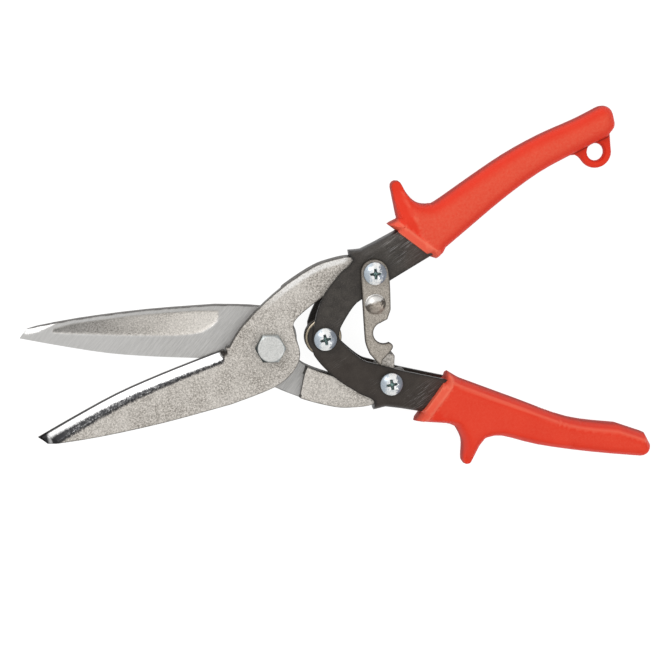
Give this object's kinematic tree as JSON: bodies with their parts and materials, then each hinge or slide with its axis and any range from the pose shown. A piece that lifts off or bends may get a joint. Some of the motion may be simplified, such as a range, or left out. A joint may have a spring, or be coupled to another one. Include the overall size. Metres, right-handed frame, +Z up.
{
  "type": "aviation snips",
  "caption": "Compound-action snips for sheet metal and siding, with long straight blades, moulded grips, opening spring and handle latch.",
  "frame": {"origin": "centre of the main blade pivot, on the flat plane the snips rest on (the nut's rear face and the grips' rear sides)", "axes": "+X from the blade pivot towards the handles, +Y towards the upper handle with the hanging loop, +Z up out of the resting plane towards the hex bolt's head; drawn with the jaws fully open"},
  "size_m": [0.2567, 0.1494, 0.0231],
  "materials": {
    "forged_steel": "blasted satin, ground and polished at the edges",
    "bolt_steel": "zinc plated, dull",
    "black_steel": "black oxide, semi gloss, rubbed",
    "grip_vinyl": "moulded orange-red vinyl, soft sheen",
    "zinc_screw": "bright zinc",
    "post_steel": "turned, bare",
    "bushing_nylon": "natural nylon",
    "spring_steel": "oil-tempered wire",
    "latch_steel": "stamped, tumbled satin"
  },
  "bodies": {
    "upper_handle": {"upper_handle": "black_steel", "upper_grip": "grip_vinyl", "handle_screw": "zinc_screw", "handle_post": "post_steel", "spring_bushing": "bushing_nylon", "torsion_spring": "spring_steel", "upper_screw": "zinc_screw", "upper_post": "post_steel", "latch_washer": "zinc_screw"},
    "lower_handle": {"lower_handle": "black_steel", "lower_grip": "grip_vinyl", "lower_screw": "zinc_screw", "lower_post": "post_steel"},
    "front_blade": {"front_blade": "forged_steel", "pivot_bolt": "bolt_steel", "pivot_nut": "bolt_steel"},
    "rear_blade": {"rear_blade": "forged_steel"},
    "latch": {"latch": "latch_steel", "latch_stud": "latch_steel"}
  },
  "joints": [
    {"name": "handle_pivot", "type": "hinge", "parent": "upper_handle", "child": "lower_handle", "pos_m": [0.0228, 0, 0.0095], "axis": [0, 0, 1], "range_deg": [0, 45.3], "deforming": ["torsion_spring"]},
    {"name": "front_blade_pivot", "type": "hinge", "parent": "upper_handle", "child": "front_blade", "pos_m": [0.0471, 0.0237, 0.0095], "axis": [0, 0, 1], "range_deg": [0, 9.9]},
    {"name": "rear_blade_pivot", "type": "hinge", "parent": "front_blade", "child": "rear_blade", "pos_m": [0, 0, 0.0095], "axis": [0, 0, 1], "range_deg": [0, 25.7]},
    {"name": "latch_pivot", "type": "hinge", "parent": "upper_handle", "child": "latch", "pos_m": [0.0471, 0.0237, 0.018], "axis": [0, 0, 1], "range_deg": [-8, 22.9]}
  ],
  "couplings": [
    {"joint": "front_blade_pivot", "follows": "handle_pivot", "ratio": 0.218},
    {"joint": "rear_blade_pivot", "follows": "handle_pivot", "ratio": 0.565}
  ]
}
